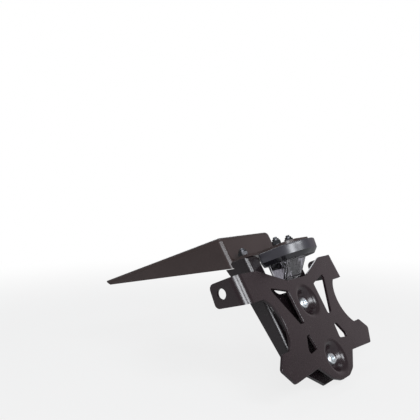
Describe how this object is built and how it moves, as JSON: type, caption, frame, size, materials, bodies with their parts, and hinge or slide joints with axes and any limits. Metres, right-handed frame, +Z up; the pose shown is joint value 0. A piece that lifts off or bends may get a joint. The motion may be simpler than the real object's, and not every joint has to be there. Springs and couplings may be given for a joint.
{
  "type": "tail tidy",
  "caption": "Folded steel tail tidy: a wedge mount for under a motorbike's tail, a forked hanger, a cut-out number plate carrier with indicator tabs, and a plate lamp.",
  "frame": {"origin": "centre of the four mount holes, on the upper face of the mount", "axes": "+X to the bike's right, +Y forward, +Z up; the mount's upper face slopes up to the rear"},
  "size_m": [0.16, 0.2483, 0.118],
  "materials": {
    "mount_coat": "satin black powder coat",
    "hanger_coat": "satin black powder coat",
    "carrier_coat": "satin black powder coat",
    "stainless": "bright stainless",
    "black_steel": "black zinc plate",
    "black_rubber": "matt",
    "lamp_body": "gloss",
    "lamp_reflector": "bright",
    "bulb_holder": "matt",
    "bulb_glass": "clear",
    "lamp_clear": "clear moulded lens"
  },
  "bodies": {
    "root": {"mount_bracket": "mount_coat", "hanger": "hanger_coat", "plate_carrier": "carrier_coat", "carrier_screws": "stainless", "carrier_spacers": "black_rubber", "carrier_washers": "black_steel", "carrier_nuts": "black_steel", "hanger_screws": "stainless", "hanger_nuts": "black_steel", "lamp_base": "lamp_body", "lamp_screws": "stainless", "lamp_washers": "black_steel", "lamp_nuts": "black_steel", "lamp_gasket": "black_rubber", "lamp_reflector": "lamp_reflector", "lamp_bulb_holder": "bulb_holder", "lamp_bulb": "bulb_glass", "lamp_lens": "lamp_clear", "lamp_grommet": "black_rubber"}
  },
  "joints": []
}
